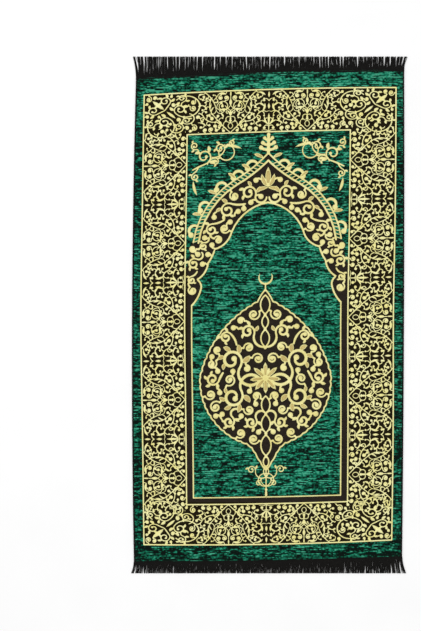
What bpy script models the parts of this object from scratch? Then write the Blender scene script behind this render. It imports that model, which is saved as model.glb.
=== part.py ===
"""Prayer rug: a flat jacquard cloth, its two overlocked side edges and its two yarn fringes.

The rug lies flat, face up, on the plane Z = 0. Its length runs along Y, with the arch end at +Y, and the
origin is under the middle of the whole rug. Every length is in metres.

The cloth was woven as a true rectangle, and lies a little out of square, as such cloth does: laid() says
where each place of the woven rectangle comes to lie.
"""

import bpy

# Driving dimensions
CLOTH_WIDTH = 0.6144       # the woven rectangle, between the side edges
CLOTH_LENGTH = 1.1303      # the woven rectangle, between the end bands
CLOTH_THICK = 0.0026
OVERLOCK_WIDTH = 0.0037    # the black stitched side edges
OVERLOCK_THICK = 0.0030
BAND_LENGTH = 0.0070       # the solid band that each fringe hangs from
FRINGE_THICK = 0.0022
TIP_Y = 0.5995             # the fringe is cut along this straight line
GAP = 0.0003               # between pieces that touch

# How the woven rectangle lies
SIDE_BOW = 0.0044          # each side bulges this far at mid length
SIDE_LEAN = 0.0024         # the arch end leans this far towards +X
END_SLANT = 0.0076         # each end runs uphill by this much at +X
END_FAN = 0.0020           # the two ends splay apart by this much at +X
END_BOW = 0.0035           # each corner lies this far short of the middle of its end
END_SHIFT = -0.0032

# The fringe, in locks of yarn
LOCKS = 92
LOCK_SHARE = 0.86          # of the pitch from one lock to the next
CORNER_LOCKS = 5           # the locks at each corner that splay outwards
CORNER_SPLAY = 0.0050
UNEVEN_TIPS = (0.0, 0.0008, 0.0002, 0.0013, 0.0005, 0.0010, 0.0003)

SIDE_STEPS = 24
END_STEPS = 20


def laid(x, y):
    """Where a place of the woven rectangle lies. It also holds for places a little outside the rectangle."""
    across = x / (CLOTH_WIDTH / 2)
    along = y / (CLOTH_LENGTH / 2)
    bulge = SIDE_BOW * (1 - along ** 2) * across
    lean = SIDE_LEAN * (along + along ** 2)
    slant = END_SHIFT + END_SLANT * across
    reach = along * (END_FAN * across - END_BOW * across ** 2)
    return x + bulge + lean, y + slant + reach


def steps(start, end, count):
    """Evenly spaced values from start to end, both included."""
    return [start + (end - start) * i / count for i in range(count + 1)]


def add_material(name, colour, roughness):
    material = bpy.data.materials.new(name)
    material.use_nodes = True
    shader = material.node_tree.nodes["Principled BSDF"]
    shader.inputs["Base Color"].default_value = (*colour, 1.0)
    shader.inputs["Roughness"].default_value = roughness
    shader.inputs["Metallic"].default_value = 0.0
    return material


def add_flat_piece(name, outline, thickness, material, collection):
    """A flat solid of this outline, resting on Z = 0."""
    curve = bpy.data.curves.new(name, "CURVE")
    curve.dimensions = "2D"
    curve.fill_mode = "BOTH"
    curve.extrude = thickness / 2
    spline = curve.splines.new("POLY")
    spline.points.add(len(outline) - 1)
    for point, (x, y) in zip(spline.points, outline):
        point.co = (x, y, 0.0, 1.0)
    spline.use_cyclic_u = True
    piece = bpy.data.objects.new(name, curve)
    piece.location.z = thickness / 2
    piece.data.materials.append(material)
    collection.objects.link(piece)
    return piece


def cloth_outline():
    """Once round the cloth: up the right side, along the arch end, down the left side and back."""
    half_x, half_y = CLOTH_WIDTH / 2, CLOTH_LENGTH / 2
    right = [(half_x, y) for y in steps(-half_y, half_y, SIDE_STEPS)]
    top = [(x, half_y) for x in steps(half_x, -half_x, END_STEPS)]
    left = [(-half_x, y) for y in steps(half_y, -half_y, SIDE_STEPS)]
    bottom = [(x, -half_y) for x in steps(-half_x, half_x, END_STEPS)]
    return [laid(x, y) for side in (right, top, left, bottom) for x, y in side[:-1]]


def overlock_outline(side):
    """The narrow strip along one side of the cloth. side is 1 on the right and -1 on the left."""
    half_x, half_y = CLOTH_WIDTH / 2, CLOTH_LENGTH / 2
    inner = [(side * (half_x + GAP), y) for y in steps(-half_y, half_y, SIDE_STEPS)]
    outer = [(side * (half_x + GAP + OVERLOCK_WIDTH), y) for _, y in reversed(inner)]
    return [laid(x, y) for x, y in inner + outer]


def corner_splay(index):
    """How far a lock's tip leans out, by its number along the fringe."""
    from_left = max(0, CORNER_LOCKS - index) / CORNER_LOCKS
    from_right = max(0, CORNER_LOCKS - (LOCKS - 1 - index)) / CORNER_LOCKS
    return CORNER_SPLAY * (from_right ** 2 - from_left ** 2)


def fringe_outline(end):
    """The comb of one fringe: its band along the cloth's end, then each lock out and back. end is 1 or -1."""
    half_x = CLOTH_WIDTH / 2 + GAP + OVERLOCK_WIDTH
    band_start = CLOTH_LENGTH / 2 + GAP
    band_end = band_start + BAND_LENGTH
    comb = [laid(x, end * band_start) for x in steps(half_x, -half_x, END_STEPS)]
    pitch = 2 * half_x / LOCKS
    for index in range(LOCKS):
        middle = -half_x + (index + 0.5) * pitch
        tip_y = end * (TIP_Y - UNEVEN_TIPS[index % len(UNEVEN_TIPS)])
        splay = corner_splay(index)
        roots = [laid(middle + side * pitch * LOCK_SHARE / 2, end * band_end) for side in (-1, 1)]
        tips = [(x + splay, tip_y) for x, _ in roots]
        comb += [roots[0], tips[0], tips[1], roots[1]]
    return comb


def main():
    for old in list(bpy.data.objects):
        bpy.data.objects.remove(old)
    rug = bpy.data.collections.new("prayer_rug")
    bpy.context.scene.collection.children.link(rug)

    chenille = add_material("green chenille", (0.012, 0.115, 0.070), 0.85)
    black_yarn = add_material("black yarn", (0.012, 0.011, 0.010), 0.80)

    add_flat_piece("rug_cloth", cloth_outline(), CLOTH_THICK, chenille, rug)
    for side, name in ((-1, "side_overlock_left"), (1, "side_overlock_right")):
        add_flat_piece(name, overlock_outline(side), OVERLOCK_THICK, black_yarn, rug)
    for end, name in ((1, "fringe_top"), (-1, "fringe_bottom")):
        add_flat_piece(name, fringe_outline(end), FRINGE_THICK, black_yarn, rug)


main()
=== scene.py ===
# %% [markdown]
# # A prayer rug in chenille
# The rug is one cloth from a jacquard loom. Three yarns show on its face: a dark ground, a soft green
# chenille and a pale gold figure. The cut sides are overlocked in black, and the black warp hangs from both
# ends as a fringe. Everything here is in metres. The imported model's cloth, overlock and fringe are hidden,
# and the pieces below are made in their place.

# %% Load the imported model
import math
import random

import bpy
import numpy as np
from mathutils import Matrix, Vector
from mathutils.geometry import delaunay_2d_cdt


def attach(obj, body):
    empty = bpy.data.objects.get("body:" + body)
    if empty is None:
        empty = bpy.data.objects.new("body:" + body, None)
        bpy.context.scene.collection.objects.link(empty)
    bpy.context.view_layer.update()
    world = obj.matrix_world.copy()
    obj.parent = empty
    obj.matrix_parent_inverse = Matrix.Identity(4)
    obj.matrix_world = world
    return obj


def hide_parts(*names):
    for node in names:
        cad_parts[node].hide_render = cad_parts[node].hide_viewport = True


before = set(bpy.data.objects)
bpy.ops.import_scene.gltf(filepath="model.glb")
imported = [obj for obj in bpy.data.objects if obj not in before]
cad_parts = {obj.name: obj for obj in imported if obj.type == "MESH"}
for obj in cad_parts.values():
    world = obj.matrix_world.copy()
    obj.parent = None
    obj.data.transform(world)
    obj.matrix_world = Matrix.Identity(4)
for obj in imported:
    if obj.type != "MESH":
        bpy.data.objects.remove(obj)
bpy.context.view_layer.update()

# %% [markdown]
# ## Where the cloth lies
# The cloth was woven as a true rectangle, and it lies a little out of square: its sides bow out, and its ends
# run uphill. One function takes a place of the woven rectangle to where it lies, so that the design can be
# drawn square and every thread still ends up where the cloth puts it. A second one lifts the cloth by a
# fraction of a millimetre here and there, because no cloth is dead flat.

# %% From the loom to the floor
MM = 0.001
CLOTH_WIDTH = 614.4  # the drawing is in millimetres, as a pattern sheet would be
CLOTH_LENGTH = 1130.3
OVERLOCK_WIDTH = 3.7
GAP = 0.3
BAND_LENGTH = 7.0


def pulled(x, y):
    """The figure is pulled a few millimetres out of true, and the edge of the cloth isn't."""
    hold = min(1.0, max(0.0, (CLOTH_WIDTH / 2 - abs(x)) / 14.0))
    shift = -0.4 - 2.6 * math.exp(-((y / 190) ** 2))
    squeeze = -4.4 * (407 - y) / 835 * x / 290
    swell = 1.7 * (y / 526) ** 3 * max(0.0, 1 - (x / 290) ** 2)
    hold_end = min(1.0, max(0.0, (CLOTH_LENGTH / 2 - abs(y)) / 30))
    corner = -1.8 * max(0.0, -x / 290) * max(0.0, -y / 526) ** 3
    return x + hold * (shift + squeeze + corner), y + hold * hold_end * swell


def laid(x, y):
    """Where a place of the woven rectangle lies, in millimetres."""
    x, y = pulled(x, y)
    across = x / (CLOTH_WIDTH / 2)
    along = y / (CLOTH_LENGTH / 2)
    bulge = 4.4 * (1 - along ** 2) * across
    lean = 2.4 * (along + along ** 2)
    slant = -3.2 + 7.6 * across
    reach = along * (2.0 * across - 3.5 * across ** 2)
    return x + bulge + lean, y + slant + reach


def lift(x, y):
    """How far the cloth stands off the floor, in millimetres: long, low waves, highest at the edges."""
    waves = math.sin(x / 61 + 0.8) * math.cos(y / 83) + 0.6 * math.sin(y / 47 + x / 140 + 2.0)
    edge = max(abs(x) / 307, abs(y) / 565) ** 6
    return 0.22 * (1.6 + waves) * (0.6 + 0.9 * edge)


def at(x, y, z):
    """A place of the pattern sheet, at this height in the cloth, as a point of the scene in metres."""
    px, py = laid(x, y)
    return px * MM, py * MM, (z + lift(x, y)) * MM


print("cloth corners:", [tuple(round(v, 4) for v in at(x, y, 0)) for x in (-307, 307) for y in (-565, 565)])

# %% [markdown]
# ## Camera, floor and light
# A rug is shown best from straight above. The camera hangs over the floor a little to the left of the rug,
# and a long lens keeps the lines straight. The light is one large soft lamp overhead with a weaker one at an
# angle, which is enough to show the relief of the yarns.

# %% The stage
LENS = 85.0
VIEW_LENGTH = 1.464  # metres of floor along the picture's long side
SENSOR = 36.0


def make_camera():
    camera = bpy.data.objects.new("camera", bpy.data.cameras.new("camera"))
    camera.data.lens = LENS
    camera.data.sensor_width = SENSOR
    camera.location = (-0.1334, -0.0014, VIEW_LENGTH * LENS / SENSOR)
    bpy.context.scene.collection.objects.link(camera)
    bpy.context.scene.camera = camera
    return camera


def make_lamp(name, place, size, power, aim=(0.0, 0.0, 0.0)):
    lamp = bpy.data.objects.new(name, bpy.data.lights.new(name, "AREA"))
    lamp.data.shape = "DISK"
    lamp.data.size = size
    lamp.data.energy = power
    lamp.location = place
    lamp.rotation_euler = (Vector(place) - Vector(aim)).to_track_quat("Z", "Y").to_euler()
    bpy.context.scene.collection.objects.link(lamp)
    return lamp


camera = make_camera()
make_lamp("overhead softbox", (0.1, 0.0, 4.6), 3.2, 84.0)
make_lamp("low softbox", (-2.6, 2.2, 2.0), 1.4, 16.0)
world = bpy.data.worlds.new("studio")
bpy.context.scene.world = world
world.use_nodes = True
world.node_tree.nodes["Background"].inputs["Color"].default_value = (1.0, 1.0, 1.0, 1.0)
world.node_tree.nodes["Background"].inputs["Strength"].default_value = 0.64
bpy.context.scene.view_settings.view_transform = "Standard"
print("camera height:", round(camera.location.z, 3))

# %% [markdown]
# ## Shader maths as Python
# A material is a small sum over numbers that change from place to place. Wrapping a node's output in a class
# that knows +, -, * and / lets the sum be written as one, and each sign adds its Math node.

# %% A socket that can be added and multiplied
class Value:
    """One output of a material's node, and the sums that can be done with it."""

    def __init__(self, kit, socket):
        self.kit = kit
        self.socket = socket

    def __add__(self, other):
        return self.kit.math("ADD", self, other)

    def __radd__(self, other):
        return self.kit.math("ADD", other, self)

    def __sub__(self, other):
        return self.kit.math("SUBTRACT", self, other)

    def __rsub__(self, other):
        return self.kit.math("SUBTRACT", other, self)

    def __mul__(self, other):
        return self.kit.math("MULTIPLY", self, other)

    def __rmul__(self, other):
        return self.kit.math("MULTIPLY", other, self)

    def __truediv__(self, other):
        return self.kit.math("DIVIDE", self, other)


class Kit:
    """A new material with one Principled shader, and short ways to add what feeds it."""

    def __init__(self, name):
        self.material = bpy.data.materials.new(name)
        self.material.use_nodes = True
        self.tree = self.material.node_tree
        self.shader = self.tree.nodes["Principled BSDF"]

    def node(self, kind, settings=None, output=0, **inputs):
        """Adds a node, sets its settings, then its sockets. A socket's name is written with _ for a space,
        and a number or a colour is set on it while a Value is linked to it."""
        node = self.tree.nodes.new(kind)
        for key, value in (settings or {}).items():
            if key == "stops":
                self.set_stops(node, value)
            else:
                setattr(node, key, value)
        for key, value in inputs.items():
            index = int(key[1:]) if key[0] == "i" and key[1:].isdigit() else key.replace("_", " ")
            self.feed(node.inputs[index], value)
        return Value(self, node.outputs[output])

    def set_stops(self, node, stops):
        ramp = node.color_ramp.elements
        while len(ramp) < len(stops):
            ramp.new(0.5)
        for element, (position, colour) in zip(ramp, stops):
            element.position = position
            element.color = (*colour, 1.0)

    def feed(self, socket, value):
        if isinstance(value, Value):
            self.tree.links.new(value.socket, socket)
        elif isinstance(value, tuple) and len(value) == 3 and socket.type == "RGBA":
            socket.default_value = (*value, 1.0)
        else:
            socket.default_value = value

    def math(self, operation, a, b=0.0, clamp=False):
        return self.node("ShaderNodeMath", {"operation": operation, "use_clamp": clamp}, i0=a, i1=b)

    def place(self):
        """Where a point is on the rug, in millimetres along X, Y and Z."""
        coordinates = self.node("ShaderNodeTexCoord", output="Object")
        return self.node("ShaderNodeVectorMath", {"operation": "SCALE"}, i0=coordinates, Scale=1000.0)

    def parts(self, vector):
        """The X, Y and Z of a vector."""
        first = self.node("ShaderNodeSeparateXYZ", i0=vector)
        sockets = first.socket.node.outputs
        return [Value(self, sockets[name]) for name in "XYZ"]

    def noise(self, x, y, detail=2.0, roughness=0.5, z=0.0):
        """Smooth random numbers, about one wave to each unit of x and of y."""
        vector = self.node("ShaderNodeCombineXYZ", X=x, Y=y, Z=z)
        return self.node(
            "ShaderNodeTexNoise", Vector=vector, Scale=1.0, Detail=detail, Roughness=roughness, output="Fac"
        )

    def ramp(self, value, stops):
        """A colour for each value from 0 to 1."""
        return self.node("ShaderNodeValToRGB", {"stops": stops}, output="Color", Fac=value)

    def blend(self, share, a, b, how="MIX"):
        """Colour a, with this share of colour b mixed in."""
        settings = {"data_type": "RGBA", "blend_type": how}
        return self.node("ShaderNodeMix", settings, output=2, i0=share, i6=a, i7=b)

    def finish(self, colour, roughness, height=None, depth=0.0, sheen=0.0, sheen_tint=(1.0, 1.0, 1.0)):
        """Feeds the shader. Height, in units of depth metres, becomes bumps."""
        self.feed(self.shader.inputs["Base Color"], colour)
        self.feed(self.shader.inputs["Roughness"], roughness)
        self.shader.inputs["Specular IOR Level"].default_value = 0.12
        self.shader.inputs["Sheen Weight"].default_value = sheen
        self.shader.inputs["Sheen Roughness"].default_value = 0.45
        self.shader.inputs["Sheen Tint"].default_value = (*sheen_tint, 1.0)
        if height is not None:
            bump = self.node("ShaderNodeBump", Height=height, Strength=0.8, Distance=depth)
            self.feed(self.shader.inputs["Normal"], bump)
        print("material:", self.material.name, len(self.tree.nodes), "nodes")
        return self.material


def tone(red, green, blue):
    """A colour as a screen shows it, from 0 to 255, in the linear numbers that a shader wants."""
    shares = (red / 255, green / 255, blue / 255)
    return tuple(c / 12.92 if c <= 0.04045 else ((c + 0.055) / 1.055) ** 2.4 for c in shares)


# %% [markdown]
# ## The green chenille
# Chenille is a furry yarn, and this one is spun from light and dark green together, so each row of weft comes
# out in short streaks. Noise gives the streaks. It is stretched along the row, and read once for each row of
# weft rather than smoothly, because neighbouring rows have nothing to do with each other.

# %% Green chenille
ROW = 2.5  # from one row of weft to the next


def green_chenille():
    kit = Kit("green chenille")
    x, y, _ = kit.parts(kit.place())
    wander = kit.noise(x / 60.0, y / 45.0)
    row_place = y / ROW + wander * 1.8
    row = kit.math("FLOOR", row_place)
    across_row = kit.math("FRACT", row_place)
    other = kit.math("GREATER_THAN", kit.math("FRACT", row / 2.0), 0.25)
    streak = kit.noise(x / 30.0, row * 7.31, detail=1.0, roughness=0.5)
    fleck = kit.noise(x / 7.0, row * 3.17, detail=1.0, roughness=0.5, z=4.0)
    cloud = kit.noise(x / 60.0, y / 6.0, detail=1.0, z=9.0)
    fuzz = kit.noise(x / 0.9, y / 0.6, detail=2.0, roughness=0.7)
    side = kit.math("GREATER_THAN", kit.math("ABSOLUTE", x + 1.0), 289.0)
    # foot marks the margin at the foot of the rug, which gets painted shade
    foot = kit.math("LESS_THAN", y, -524.0)
    crown = kit.math("MULTIPLY", (y - 170.0) / 160.0, 1.0, clamp=True)
    crown = crown * kit.math("LESS_THAN", y, 440.0)
    shade = streak * 2.4 + fleck * 1.9 + cloud * 0.2 + fuzz * 0.2 + other * 0.14
    # painted shade: the foot margin is darkened, and the green gets darker the further down the rug it lies;
    # side and crown darken the side margins and the top of the field
    shade = shade - side * 0.12 - foot * 0.11 - crown * 0.13 + y * 0.00007 - 1.92
    colour = kit.ramp(shade, [
        (0.22, tone(0, 12, 7)),
        (0.37, tone(0, 44, 30)),
        (0.45, tone(1, 80, 57)),
        (0.60, tone(12, 104, 77)),
        (0.76, tone(28, 134, 104)),
        (0.92, tone(70, 164, 132)),
    ])
    ridge = kit.math("SINE", across_row * math.pi)
    height = ridge * 0.7 + fuzz * 0.5 + fleck * 0.3
    return kit.finish(colour, 0.88, height, 0.0006, sheen=0.12, sheen_tint=tone(90, 190, 150))


GREEN = green_chenille()


# %% [markdown]
# ## The dark ground
# Where neither green nor gold comes up, the rug shows its flat ground: fine, hard, brown-black yarn in a
# tight rib. It is browner under the border and more neutral inside it, because a second dark weft runs there.

# %% Dark ground
RIB = 1.1


def dark_ground():
    kit = Kit("dark ground")
    x, y, _ = kit.parts(kit.place())
    inside = kit.math("LESS_THAN", kit.math("ABSOLUTE", x + 1.0), 186.0)
    inside = inside * kit.math("LESS_THAN", kit.math("ABSOLUTE", y + 6.0), 428.0)
    rib = kit.math("SINE", x * (2 * math.pi / RIB))
    pick = kit.math("SINE", y * (2 * math.pi / (RIB * 0.8)) + rib * 1.2)
    fleck = kit.noise(x / 1.6, y / 0.8, detail=2.0)
    cloud = kit.noise(x / 9.0, y / 5.0, detail=2.0, z=3.0)
    shade = fleck * 0.5 + cloud * 0.4 + pick * 0.06
    brown = kit.ramp(shade, [(0.25, tone(10, 7, 0)), (0.65, tone(40, 31, 6))])
    neutral = kit.ramp(shade, [(0.25, tone(22, 17, 12)), (0.65, tone(52, 44, 36))])
    colour = kit.blend(inside, brown, neutral)
    return kit.finish(colour, 0.85, rib * 0.4 + pick * 0.5 + fleck * 0.4, 0.0003)


GROUND = dark_ground()


# %% [markdown]
# ## The gold yarns
# The figure is woven in a smooth, slightly shiny yarn. Its wefts lie side by side, so a leaf is really a
# bundle of fine parallel lines. The thin lines of the drawing are cream, and the middle of a broad leaf is
# woven in a second, tanner yarn.

# %% Gold yarns
def gold_yarn(name, dark, light, sheen):
    kit = Kit(name)
    x, y, _ = kit.parts(kit.place())
    pick = kit.math("SINE", y * (2 * math.pi / 0.9))
    bind = kit.math("SINE", (x + y * 0.5) * (2 * math.pi / 2.3))
    fleck = kit.noise(x / 3.0, y / 0.9, detail=3.0, roughness=0.6)
    cloud = kit.noise(x / 28.0, y / 28.0, detail=1.0, z=2.0)
    shade = fleck * 0.6 + cloud * 0.5 + bind * 0.05
    colour = kit.ramp(shade, [(0.30, dark), (0.70, light)])
    return kit.finish(colour, 0.62, pick * 0.5 + bind * 0.35 + fleck * 0.4, 0.00025, sheen=sheen)


CREAM = gold_yarn("cream figure yarn", tone(228, 212, 122), tone(252, 246, 176), 0.06)
PALE = gold_yarn("pale figure yarn", tone(242, 230, 130), tone(255, 252, 190), 0.06)
TAN = gold_yarn("tan figure yarn", tone(184, 160, 90), tone(224, 204, 132), 0.06)


# %% [markdown]
# ## The black yarn
# The fringe and the overlock are plain spun yarn. It is nearly black, a little brown where the light catches
# its twist.

# %% Black yarn
def black_yarn():
    kit = Kit("black yarn")
    x, y, z = kit.parts(kit.place())
    twist = kit.math("SINE", (x * 0.9 + y * 0.8 + z * 1.3) * (2 * math.pi / 1.4))
    fleck = kit.noise(x / 1.2, y / 2.4, detail=2.0, z=z / 1.2)
    shade = fleck * 0.8 + twist * 0.08 + 0.1
    colour = kit.ramp(shade, [(0.30, tone(7, 7, 6)), (0.62, tone(19, 18, 16)), (0.85, tone(54, 50, 45))])
    return kit.finish(colour, 0.78, twist * 0.5 + fleck * 0.5, 0.0002, sheen=0.05)


BLACK = black_yarn()

# %% [markdown]
# ## The floor
# The rug lies on a plain white floor. The floor belongs to the picture and not to the rug, so it is not
# attached to the rug's body.

# %% The floor
def white_floor():
    kit = Kit("white floor")
    x, y, _ = kit.parts(kit.place())
    grain = kit.noise(x / 140.0, y / 140.0, detail=3.0)
    colour = kit.ramp(grain, [(0.3, (0.95, 0.95, 0.95)), (0.7, (0.97, 0.97, 0.97))])
    return kit.finish(colour, 0.7)


bpy.ops.mesh.primitive_plane_add(size=12.0, location=(0.0, 0.0, 0.0))
floor = bpy.context.object
floor.name = "floor"
floor.data.materials.append(white_floor())
print("floor:", tuple(floor.dimensions))

# %% [markdown]
# ## Drawing the pattern
# A weaver draws the figure on paper before any of it is woven, and scrollwork is nothing but strokes of a
# pen. The strokes could be curve objects pulled about in the viewport. A table is easier to change: each
# line is one stroke, with its two ends in millimetres, the degrees it turns, its width, and the ball at
# its end. The first line of a table names its columns.

# %% Read a table of strokes

WORDS = ("name", "root", "shape")


def rows(text):
    """Turns a small table, whose first line names its columns, into one dictionary a row."""
    lines = [line.split() for line in text.strip().splitlines()]
    names = lines[0]
    return [
        {name: word if name in WORDS else float(word) for name, word in zip(names, words)}
        for words in lines[1:]
    ]


print("a table is read as", rows("name x1 y1\nstem 0 5"))

# %% [markdown]
# ## One stroke of the pen
# A stroke turns evenly from one end to the other, and the nib swells and thins along it. The shape says
# how: a stem, a leaf, a horn with a fine tip. The inked stroke is a row of four-cornered pieces, because
# those are what the mesh is made from further down.

# %% Ink one stroke
SHAPES = {  # the pen's width along a stroke, from 0 to 1, as a share of its full width
    "stem": lambda s: 0.78 + 0.3 * math.sin(math.pi * s),
    "line": lambda s: 1.0,
    "swell": lambda s: 0.5 + 0.5 * math.sin(math.pi * s),
    "taper": lambda s: 1.0 - 0.6 * s,
    "curl": lambda s: 0.62 + 0.38 * math.sin(math.pi * min(1.0, 1.2 * s)),
    "leaf": lambda s: math.sin(math.pi * s) ** 0.75,
    "drop": lambda s: 1.62 * math.sqrt(s) * (1.0 - s) ** 0.62,
    "bud": lambda s: 1.62 * math.sqrt(1.0 - s) * s ** 0.62,
    "horn": lambda s: (0.35 + 0.65 * math.sin(math.pi * min(0.5, s + 0.12))) * (1.0 - s) ** 0.6 * 1.15,
}
CAPPED = ("stem", "line", "swell", "curl", "taper")
BROAD = 8.0  # a leaf this wide has a darker middle
TAN_RIM = 1.9  # the cream left around that middle


def bent(length, heading, turn, curl, sway):
    """A pen's path from (0, 0): a list of (x, y, heading in degrees)."""
    count = max(5, int(math.ceil((abs(turn) + 2.6 * abs(sway)) / 13.0)) + 2)
    fine = 5
    x, y, path = 0.0, 0.0, [(0.0, 0.0, heading + sway)]
    for i in range(count * fine):
        s = (i + 0.5) / (count * fine)
        angle = heading + turn * s ** curl + sway * math.cos(2 * math.pi * s)
        x += length / (count * fine) * math.cos(math.radians(angle))
        y += length / (count * fine) * math.sin(math.radians(angle))
        if (i + 1) % fine == 0:
            path.append((x, y, angle))
    return path


def between(x1, y1, x2, y2, turn, curl, sway):
    """A path with both its ends given."""
    path = bent(1.0, 0.0, turn, curl, sway)
    ex, ey, _ = path[-1]
    swing = math.atan2(y2 - y1, x2 - x1) - math.atan2(ey, ex)
    scale = math.hypot(x2 - x1, y2 - y1) / math.hypot(ex, ey)
    c, s = scale * math.cos(swing), scale * math.sin(swing)
    return [(x1 + c * x - s * y, y1 + s * x + c * y, a + math.degrees(swing)) for x, y, a in path]


def place_on(path, at):
    """The place and heading at this share of a path."""
    spot = at * (len(path) - 1)
    i = min(int(spot), len(path) - 2)
    f = spot - i
    return tuple(a + (b - a) * f for a, b in zip(path[i], path[i + 1]))


def disc(x, y, across, sides=0):
    """A round spot, with more sides when it is larger."""
    sides = sides or (12 if across < 9 else 18)
    corners = (2 * math.pi * k / sides for k in range(sides))
    return [(x + across / 2 * math.cos(a), y + across / 2 * math.sin(a)) for a in corners]


def inked(path, width, shape, ball):
    """The outline of one stroke, as a row of four-cornered pieces, with its round ends and its ball."""
    last = len(path) - 1
    rungs = []
    for i, (x, y, angle) in enumerate(path):
        half = 0.5 * max(width * SHAPES[shape](i / last), 0.3)
        nx, ny = -math.sin(math.radians(angle)) * half, math.cos(math.radians(angle)) * half
        rungs.append(((x + nx, y + ny), (x - nx, y - ny)))
    pieces = [[a[0], a[1], b[1], b[0]] for a, b in zip(rungs, rungs[1:])]
    if shape in CAPPED:
        pieces.append(disc(*path[0][:2], width * SHAPES[shape](0), 8))
        if not ball:
            pieces.append(disc(*path[-1][:2], width * SHAPES[shape](1), 8))
    if ball:
        pieces.append(disc(*path[-1][:2], ball))
    return pieces


print("pen shapes:", ", ".join(SHAPES))

# %% [markdown]
# ## Stems and branches
# Scrollwork grows like a plant: a curl leaves its stem part of the way along, at an angle. A branch is
# given by its stem and not by its place, so that the two stay joined when the stem is moved. A broad leaf
# of this rug is tan inside a cream rim, so the inner part of each leaf is kept apart.

# %% Ink stems and branches, and reflect what is drawn
def filling(path, width, shape, rim):
    """The inner part of a broad leaf, inside a rim of this width."""
    last = len(path) - 1
    rungs = []
    for i, (x, y, angle) in enumerate(path):
        half = 0.5 * width * SHAPES[shape](i / last) - rim
        if half > 0.25:
            nx, ny = -math.sin(math.radians(angle)) * half, math.cos(math.radians(angle)) * half
            rungs.append(((x + nx, y + ny), (x - nx, y - ny)))
    return [[a[0], a[1], b[1], b[0]] for a, b in zip(rungs, rungs[1:])]


def drawing(stems, branches, pen, balls):
    """Inks the stems of one table, then what branches off them or off each other, from another table.
    A finer pen has a pen below 1, and smaller balls have balls below 1."""
    paths, pieces = {}, []
    for row in rows(stems):
        ends = (row[k] for k in ("x1", "y1", "x2", "y2"))
        paths[row["name"]] = path = between(*ends, row["turn"], row["curl"], row["sway"])
        pieces += inked(path, row["width"] * pen, row["shape"], row["ball"] * balls)
    for row in rows(branches):
        x, y, angle = place_on(paths[row["root"]], row["at"])
        path = bent(row["length"], angle + row["leave"], row["turn"], row["curl"], 0.0)
        paths[row["name"]] = path = [(x + px, y + py, a) for px, py, a in path]
        pieces += inked(path, row["width"] * pen, row["shape"], row["ball"] * balls)
    return pieces


def coil(x, y, outer, inner, start, sweep):
    """A path round a place, from the outer radius in to the inner one. Angles are in degrees."""
    count = max(4, int(abs(sweep) / 18))
    path = []
    for k in range(count + 1):
        s = k / count
        angle = start + sweep * s
        radius = outer + (inner - outer) * s
        dx, dy = radius * math.cos(math.radians(angle)), radius * math.sin(math.radians(angle))
        path.append((x + dx, y + dy, angle + math.copysign(90, sweep)))
    return path


def mirrored(pieces, axis=0.0):
    """The pieces and their reflections in the line x = axis."""
    return pieces + [[(2 * axis - x, y) for x, y in reversed(piece)] for piece in pieces]


def moved(pieces, dx=0.0, dy=0.0, scale_x=1.0, scale_y=1.0, turn=0.0):
    """The pieces scaled, then turned by degrees, then moved."""
    c, s = math.cos(math.radians(turn)), math.sin(math.radians(turn))
    flip = scale_x * scale_y < 0
    out = []
    for piece in pieces:
        new = [
            (dx + c * x * scale_x - s * y * scale_y, dy + s * x * scale_x + c * y * scale_y) for x, y in piece
        ]
        out.append(new[::-1] if flip else new)
    return out


print("a whole turn of scroll has", len(coil(0, 0, 8, 2, 0, 360)), "points")

# %% [markdown]
# ## Curls for the empty places
# A border like this leaves no bare spot, and filling the last ones by hand would take a day. This step
# looks for the widest gap in a drawing, puts a curl there that springs from the nearest stroke, and goes
# on until the gaps are even. The distances are kept on a grid with numpy.

# %% Fill the gaps of a drawing
class Gaps:
    """How far each place of a box is from the nearest stroke, worked out on a grid."""

    def __init__(self, box, walls=(), cell=1.0):
        x1, y1, x2, y2 = box
        self.x, self.y = np.meshgrid(np.arange(x1, x2, cell), np.arange(y1, y2, cell))
        self.origin, self.cell = (x1, y1), cell
        self.far = np.full(self.x.shape, 30.0)
        self.near = np.zeros((2, *self.x.shape))
        for a, b, c in walls:  # a mirror line a x + b y = c, which a curl may come half as close to
            self.far = np.minimum(self.far, np.abs(a * self.x + b * self.y - c) + 0.9)

    def add(self, pieces, reach=11.0):
        for piece in pieces:
            for (ax, ay), (bx, by) in zip(piece, piece[1:] + piece[:1]):
                i1 = max(0, int((min(ax, bx) - reach - self.origin[0]) / self.cell))
                i2 = max(0, int((max(ax, bx) + reach - self.origin[0]) / self.cell) + 1)
                j1 = max(0, int((min(ay, by) - reach - self.origin[1]) / self.cell))
                j2 = max(0, int((max(ay, by) + reach - self.origin[1]) / self.cell) + 1)
                x, y = self.x[j1:j2, i1:i2], self.y[j1:j2, i1:i2]
                if not x.size:
                    continue
                dx, dy = bx - ax, by - ay
                share = np.clip(((x - ax) * dx + (y - ay) * dy) / max(dx * dx + dy * dy, 1e-9), 0, 1)
                nx, ny = ax + share * dx, ay + share * dy
                away = np.hypot(x - nx, y - ny)
                closer = away < self.far[j1:j2, i1:i2]
                self.far[j1:j2, i1:i2][closer] = away[closer]
                self.near[0, j1:j2, i1:i2][closer] = nx[closer]
                self.near[1, j1:j2, i1:i2][closer] = ny[closer]
            if len(piece) > 4:
                mx, my = sum(x for x, _ in piece) / len(piece), sum(y for _, y in piece) / len(piece)
                across = max(math.dist((mx, my), p) for p in piece)
                self.far[np.hypot(self.x - mx, self.y - my) < across] = 0.0

    def widest(self):
        """The middle of the widest gap, its half-width, and the nearest point of the drawing."""
        j, i = np.unravel_index(np.argmax(self.far), self.far.shape)
        return (*(float(v[j, i]) for v in (self.x, self.y, self.far, self.near[0], self.near[1])),)


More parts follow.
